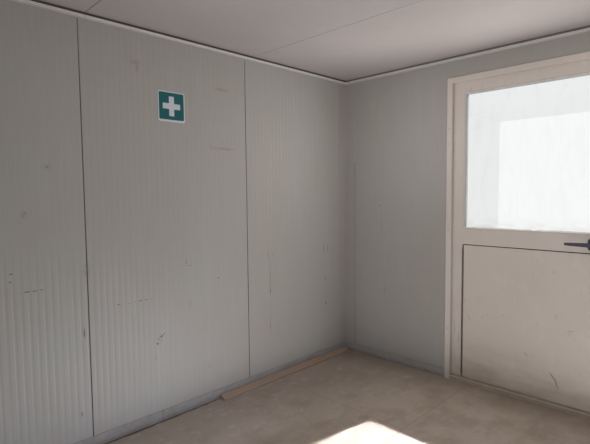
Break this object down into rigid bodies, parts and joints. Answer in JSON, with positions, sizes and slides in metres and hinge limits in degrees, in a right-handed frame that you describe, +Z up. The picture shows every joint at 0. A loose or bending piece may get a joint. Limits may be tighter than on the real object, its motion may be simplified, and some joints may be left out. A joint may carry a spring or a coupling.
{
  "type": "site cabin end section with half-glazed door",
  "caption": "End section of a panel-built site cabin, open at one end, with ribbed sandwich walls, flat ceiling, boarded floor and a half-glazed hinged door.",
  "frame": {"origin": "on the ground in the middle of the section, under the bounding box's centre", "axes": "+Z up, +Y out through the door wall, +X to the right when looking at the door from inside"},
  "size_m": [3.286, 3.585, 2.688],
  "materials": {
    "base_steel": "grey paint over galvanising, scuffed",
    "floor_board": "dusty sheet flooring",
    "softwood": "raw sawn batten",
    "wall_skin": "polyester-coated steel, lightly ribbed and dusty",
    "roof_skin": "polyester-coated steel",
    "galvanised": "dull galvanised steel under dust",
    "trim_sheet": "folded coated steel",
    "door_pvc": "cream-white PVC, satin, scuffed",
    "bead_pvc": "white PVC bead",
    "sill_aluminium": "worn mill finish",
    "hinge_metal": "powder coated",
    "glass": "clear sealed unit, streaked",
    "handle_metal": "dark powder coated",
    "lock_nickel": "satin nickel",
    "seal_rubber": "grey weather seal",
    "sign_plastic": "printed rigid plastic plate"
  },
  "bodies": {
    "cabin": {"base_rail_left": "base_steel", "base_rail_right": "base_steel", "base_rail_door": "base_steel", "floor_joists": "base_steel", "corner_post_left": "base_steel", "corner_post_right": "base_steel", "eaves_rail_left": "base_steel", "eaves_rail_right": "base_steel", "eaves_rail_door": "base_steel", "floor_boards": "floor_board", "floor_batten": "softwood", "left_panel_1": "wall_skin", "left_panel_2": "wall_skin", "left_panel_3": "wall_skin", "right_panel_1": "wall_skin", "right_panel_2": "wall_skin", "right_panel_3": "wall_skin", "door_panel_left": "wall_skin", "door_panel_right": "wall_skin", "door_panel_over": "wall_skin", "roof_panel_1": "roof_skin", "roof_panel_2": "roof_skin", "roof_panel_3": "roof_skin", "floor_track_left": "galvanised", "floor_track_right": "galvanised", "floor_track_door": "galvanised", "corner_angles": "trim_sheet", "ceiling_trim_left": "trim_sheet", "ceiling_trim_right": "trim_sheet", "ceiling_trim_door": "trim_sheet", "frame_jamb_hinge": "door_pvc", "frame_jamb_lock": "door_pvc", "frame_head": "door_pvc", "door_sill": "sill_aluminium", "hinge_frame_halves": "hinge_metal", "strike_plate": "lock_nickel", "door_seal": "seal_rubber", "first_aid_sign": "sign_plastic"},
    "door_leaf": {"leaf_stile_hinge": "door_pvc", "leaf_stile_lock": "door_pvc", "leaf_top_rail": "door_pvc", "leaf_mid_rail": "door_pvc", "leaf_bottom_rail": "door_pvc", "leaf_infill": "door_pvc", "leaf_glass": "glass", "glazing_beads": "bead_pvc", "handle_roses": "handle_metal", "lock_cylinder": "lock_nickel", "lock_faceplate": "lock_nickel", "hinge_leaf_halves": "hinge_metal"},
    "lever": {"lever_handle": "handle_metal"}
  },
  "joints": [
    {"name": "door_hinge", "type": "hinge", "parent": "cabin", "child": "door_leaf", "pos_m": [-0.5205, 1.7505, 1.25], "axis": [0, 0, 1], "range_deg": [0, 100]},
    {"name": "lever_turn", "type": "hinge", "parent": "door_leaf", "child": "lever", "pos_m": [0.394, 1.7095, 1.242], "axis": [0, -1, 0], "range_deg": [0, 40], "stiffness_Nm_per_rad": 1.5, "springref_deg": -20.05}
  ]
}
